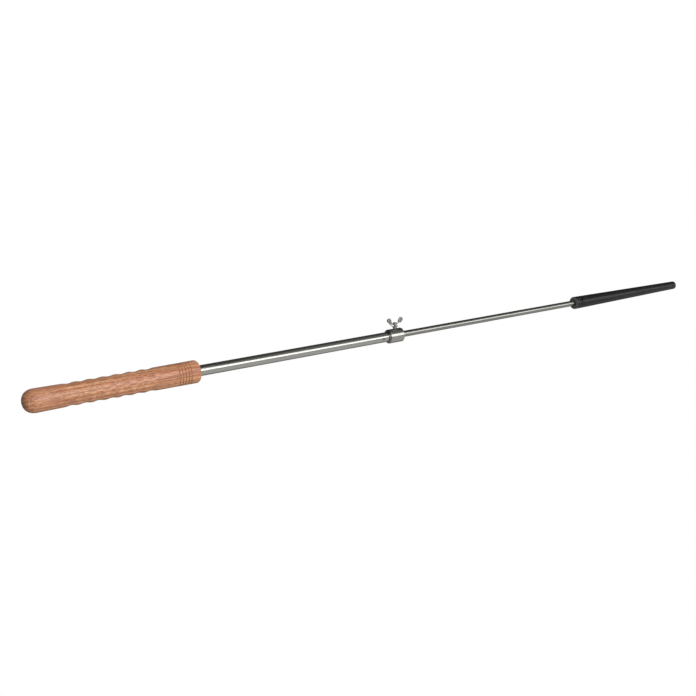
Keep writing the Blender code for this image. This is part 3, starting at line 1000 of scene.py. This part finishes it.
@dataclass
class RodAndCone:
    """Inner rod, roasting cone and the countersunk screw that holds the cone."""

    # The rod is the tube's steel given a darker colour: painted shade for the light that falls off
    # along the rod.
    rod_finish: SteelFinish = field(default_factory=lambda: SteelFinish(
        name="polished_stainless_steel_rod", colour="a3a29d", dull_colour="8f8e89",
        roughness=0.18, line_spacing=0.6 * MM))
    screw_finish: SteelFinish = field(default_factory=lambda: SteelFinish(
        name="heat_blackened_steel", colour="5c5a57", dull_colour="444240",
        roughness=0.42, roughness_spread=0.18, smear_length=3.0 * MM))
    cone_finish: NonStickFinish = field(default_factory=NonStickFinish)
    rod_wall: float = 1.0 * MM
    rod_edge: float = 0.25 * MM
    cone_sides: int = 112
    base_radius: float = 8.95 * MM
    tip_radius: float = 6.0 * MM
    base_edge: float = 0.6 * MM
    tip_edge: float = 1.2 * MM
    socket_radius: float = 4.05 * MM
    socket_depth: float = 30.3 * MM
    socket_chamfer: float = 0.3 * MM
    screw_from_base: float = 6.5 * MM
    screw_angle: float = math.radians(143.0)
    head_radius: float = 4.0 * MM
    head_height: float = 2.3 * MM
    head_top: float = 7.7 * MM
    head_edge: float = 0.2 * MM
    head_rim: float = 0.35 * MM
    shank_radius: float = 2.0 * MM
    shank_end: float = 1.0 * MM
    margin: float = 0.5 * MM
    gap: float = 0.3 * MM
    drive_size: float = 2.5 * MM
    drive_depth: float = 1.6 * MM

    def aim(self, piece: Object, base_x: float) -> None:
        """Turn a piece made about Z to the cone screw's place, and apply it.

        Args:
            piece: Object whose axis is the world's Z axis.
            base_x: Where the cone begins.
        """
        outward = Vector((0.0, math.cos(self.screw_angle), math.sin(self.screw_angle)))
        piece.rotation_mode = "QUATERNION"
        piece.rotation_quaternion = Vector((0.0, 0.0, 1.0)).rotation_difference(outward)
        piece.location = (base_x + self.screw_from_base, 0.0, 0.0)
        make_active(piece)
        bpy.ops.object.transform_apply(location=True, rotation=True, scale=True)

    def build_rod(self) -> Object:
        """Turn the rod and drill it for the screw."""
        low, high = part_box("inner_rod")
        radius = high.z
        outline = [
            *arc(high.x - self.rod_edge, radius - self.rod_edge, self.rod_edge, 0, 90, 3),
            *arc(low.x + self.rod_edge, radius - self.rod_edge, self.rod_edge, 90, 180, 3),
            (low.x, radius - self.rod_wall),
            (high.x, radius - self.rod_wall),
        ]
        rod = turn("polished_rod", outline, 72, closed=True)
        drill_outline = [
            (2 * radius, 0.0),
            (2 * radius, self.shank_radius + self.gap),
            (0.5 * radius, self.shank_radius + self.gap),
            (0.5 * radius, 0.0),
        ]
        drill = turn("rod_drill", drill_outline, 32, Axis.UP)
        self.aim(drill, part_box("roasting_cone")[0].x)
        cut(rod, drill)
        smooth(rod)
        return dress(rod, self.rod_finish.material(), Body.ROD, "rod_steel", "inner_rod")

    def build_cone(self) -> Object:
        """Turn the cone, with its socket, and sink the hole for the screw."""
        low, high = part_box("roasting_cone")
        length = high.x - low.x
        outline: Outline = [(length, 0.0)]
        outline += arc(length - self.tip_edge, self.tip_radius - self.tip_edge, self.tip_edge,
                       0, 90, 8)
        outline += arc(self.base_edge, self.base_radius - self.base_edge, self.base_edge,
                       90, 180, 6)
        outline += [
            (0.0, self.socket_radius + self.socket_chamfer),
            (self.socket_chamfer, self.socket_radius),
            (self.socket_depth, self.socket_radius),
            (self.socket_depth, 0.0),
        ]
        placed = [(low.x + along, radius) for along, radius in outline]
        cone = turn("coated_cone", placed, self.cone_sides)
        mouth = self.head_radius + self.margin
        sink_outline = [
            (2 * self.base_radius, 0.0),
            (2 * self.base_radius, mouth),
            (self.head_top - self.gap, mouth),
            (self.head_top - self.head_height - self.gap, self.shank_radius + self.gap),
            (self.shank_end - self.gap, self.shank_radius + self.gap),
            (self.shank_end - self.gap, 0.0),
        ]
        sink = turn("countersink", sink_outline, 64, Axis.UP)
        self.aim(sink, low.x)
        cut(cone, sink)
        smooth(cone)
        return dress(cone, self.cone_finish.material(low.x), Body.ROD, "cone_coating",
                     "roasting_cone")

    def build_screw(self) -> Object:
        """Turn the countersunk screw and press a hexagon socket into its head."""
        seat = self.head_top - self.head_height
        outline = [
            (self.head_top, 0.0),
            *arc(self.head_top - self.head_edge, self.head_radius - self.head_edge,
                 self.head_edge, 0, 90, 4),
            (self.head_top - self.head_rim, self.head_radius),
            (seat, self.shank_radius),
            (self.shank_end, self.shank_radius),
            (self.shank_end, 0.0),
        ]
        screw = turn("countersunk_screw", outline, 64, Axis.UP)
        deselect_all()
        bpy.ops.mesh.primitive_cylinder_add(vertices=6, radius=self.drive_size / math.sqrt(3),
                                            depth=2 * self.drive_depth,
                                            location=(0.0, 0.0, self.head_top))
        cut(screw, bpy.context.object)
        self.aim(screw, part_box("roasting_cone")[0].x)
        smooth(screw)
        return dress(screw, self.screw_finish.material(), Body.ROD, "screw_steel", "cone_screw")


@dataclass
class InnerPieces:
    """Small pieces inside the tube, collar and cone, whose frame shapes are kept."""

    nylon: MouldedFinish = MouldedFinish("moulded_black_nylon", "141414", "232323", 0.48)
    brass: MouldedFinish = MouldedFinish("turned_brass", "b08d4a", "c7a45f", 0.30, 1.0)
    steel: SteelFinish = SteelFinish(name="turned_steel_inner_parts", roughness=0.3)

    def build(self, nodes: dict[str, Object]) -> None:
        """Give the frame's own inner nodes their finishes.

        Args:
            nodes: The frame's nodes by name.
        """
        nylon, brass, steel = (f.material() for f in (self.nylon, self.brass, self.steel))
        finishes = {
            "tube_end_plug": nylon,
            "tail_bush": nylon,
            "pressure_pad": brass,
            "tail_spindle": steel,
            "rod_insert": steel,
        }
        for name, material in finishes.items():
            nodes[name].data.materials.clear()
            nodes[name].data.materials.append(material)
            log.info("%s keeps its frame shape, in %s", name, material.name)


# ---- Studio ----


@dataclass
class SoftBox:
    """Rectangular area light that faces a point."""

    name: str
    place: Triple
    target: Triple
    size: Pair
    watts: float
    mirrored: bool = True

    def build(self) -> None:
        """Add the light."""
        light = bpy.data.lights.new(self.name, "AREA")
        light.shape = "RECTANGLE"
        light.size, light.size_y = self.size
        light.energy = self.watts
        lamp = bpy.data.objects.new(self.name, light)
        bpy.context.scene.collection.objects.link(lamp)
        lamp.visible_glossy = self.mirrored
        lamp.location = self.place
        towards = Vector(self.target) - Vector(self.place)
        lamp.rotation_euler = towards.to_track_quat("-Z", "Y").to_euler()


@dataclass
class Studio:
    """White sweep behind the stick, a dim room round it, soft light and the camera."""

    sweep_centre: Triple = (0.4, 0.0, -0.55)
    sweep_radius: float = 7.0
    sweep_curve: float = 1.6
    sweep_height: float = 3.0
    sweep_colour: str = "ffffff"
    room: tuple[Pair, ...] = (
        (0.0, 0.50), (0.10, 0.64), (0.42, 0.58), (0.50, 0.30), (0.60, 0.20), (0.92, 0.21),
        (0.97, 0.10), (1.0, 0.08))
    back_share: float = 0.36
    left_share: float = 0.35
    camera_azimuth: float = math.radians(-32.88)
    camera_elevation: float = math.radians(16.50)
    camera_distance: float = 1.208
    camera_target: Triple = (0.3024, 0.0, -0.0053)
    lens: float = 50.0
    sensor: float = 36.0
    lights: tuple[SoftBox, ...] = (
        SoftBox("front_softbox", (1.5, -1.5, 0.68), (1.5, 0.0, 0.30), (4.6, 1.0), 34.0),
        SoftBox("front_fill", (0.3, -1.5, 0.3), (0.3, 0.0, 0.0), (2.4, 0.8), 11.5, False),
        SoftBox("left_softbox", (-1.0, -0.75, 0.35), (0.36, 0.0, 0.0), (0.25, 0.25), 0.7),
        SoftBox("handle_softbox", (0.2, -1.0, 0.95), (0.0, 0.0, 0.0), (0.3, 1.0), 3.4),
        SoftBox("overhead_fill", (0.3, 0.5, 2.2), (0.3, 0.0, 0.0), (3.0, 2.0), 24.0, False),
    )

    def build_sweep(self) -> None:
        """Turn a white floor that curves up into a wall. It shows, but it isn't mirrored."""
        rise = self.sweep_radius - self.sweep_curve
        outline = [(0.0, 0.0), (0.0, rise)]
        outline += [(self.sweep_curve * (1 - math.cos(a)), rise + self.sweep_curve * math.sin(a))
                    for a in (math.radians(9.0 * step) for step in range(1, 11))]
        outline.append((self.sweep_height, self.sweep_radius))
        sweep = turn("studio_sweep", outline, 96, Axis.UP)
        make_active(sweep)
        sweep.location = self.sweep_centre
        bpy.ops.object.transform_apply(location=True, rotation=True, scale=True)
        bpy.ops.object.shade_smooth()
        sweep.visible_diffuse = sweep.visible_glossy = sweep.visible_shadow = False
        paper, shader, _ = new_material("white_paper_sweep")
        shader.inputs["Base Color"].default_value = grey(0.0)
        shader.inputs["Roughness"].default_value = 1.0
        shader.inputs["Specular IOR Level"].default_value = 0.0
        shader.inputs["Emission Color"].default_value = linear(self.sweep_colour)
        shader.inputs["Emission Strength"].default_value = 1.0
        sweep.data.materials.append(paper)

    def build_room(self) -> None:
        """Light the stick with a pale floor, a dark ceiling, and less from behind and the left."""
        world = bpy.data.worlds.new("studio_room")
        world.use_nodes = True
        place = add_node(world, "ShaderNodeTexCoord")
        parts = add_node(world, "ShaderNodeSeparateXYZ", links={0: place.outputs["Generated"]})
        height = add_node(world, "ShaderNodeMapRange", {}, {"From Min": -1.0},
                          {"Value": parts.outputs["Z"]})
        tones = add_node(world, "ShaderNodeValToRGB", links={"Fac": height.outputs[0]})
        set_ramp(tones, [(at, grey(value)) for at, value in self.room])
        back = add_node(world, "ShaderNodeMapRange", {"clamp": True},
                        {"From Min": -0.1, "From Max": 0.25, "To Min": 1.0,
                         "To Max": self.back_share}, {"Value": parts.outputs["Y"]})
        left = add_node(world, "ShaderNodeMapRange", {"clamp": True},
                        {"From Min": -0.7, "From Max": -0.1, "To Min": self.left_share,
                         "To Max": 1.0}, {"Value": parts.outputs["X"]})
        both = add_node(world, "ShaderNodeMath", {"operation": "MULTIPLY"},
                        links={0: back.outputs[0], 1: left.outputs[0]})
        background = world.node_tree.nodes["Background"]
        world.node_tree.links.new(tones.outputs["Color"], background.inputs["Color"])
        world.node_tree.links.new(both.outputs[0], background.inputs["Strength"])
        bpy.context.scene.world = world
        bpy.context.scene.view_settings.view_transform = "Standard"

    def build_camera(self) -> None:
        """Add the camera at its viewing angle."""
        azimuth, elevation = self.camera_azimuth, self.camera_elevation
        back = Vector((math.sin(azimuth) * math.cos(elevation),
                       -math.cos(azimuth) * math.cos(elevation), math.sin(elevation)))
        data = bpy.data.cameras.new("camera")
        data.lens = self.lens
        data.sensor_width = self.sensor
        data.clip_start = 0.01
        camera = bpy.data.objects.new("camera", data)
        bpy.context.scene.collection.objects.link(camera)
        camera.location = Vector(self.camera_target) + back * self.camera_distance
        camera.rotation_euler = (-back).to_track_quat("-Z", "Y").to_euler()
        bpy.context.scene.camera = camera

    def build(self) -> None:
        """Set up the whole studio."""
        self.build_sweep()
        self.build_room()
        for light in self.lights:
            light.build()
        self.build_camera()


def main() -> None:
    """Build the studio and every sub-assembly in order."""
    logging.basicConfig(level=logging.INFO, format="%(name)s: %(message)s")
    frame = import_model()
    Studio().build()
    Handle().build()
    tube_and_collar = TubeAndCollar()
    tube_and_collar.build_tube()
    tube_and_collar.build_collar()
    WingScrew().build()
    rod_and_cone = RodAndCone()
    rod_and_cone.build_rod()
    rod_and_cone.build_cone()
    rod_and_cone.build_screw()
    InnerPieces().build(frame["nodes"])


if __name__ == "__main__":
    main()
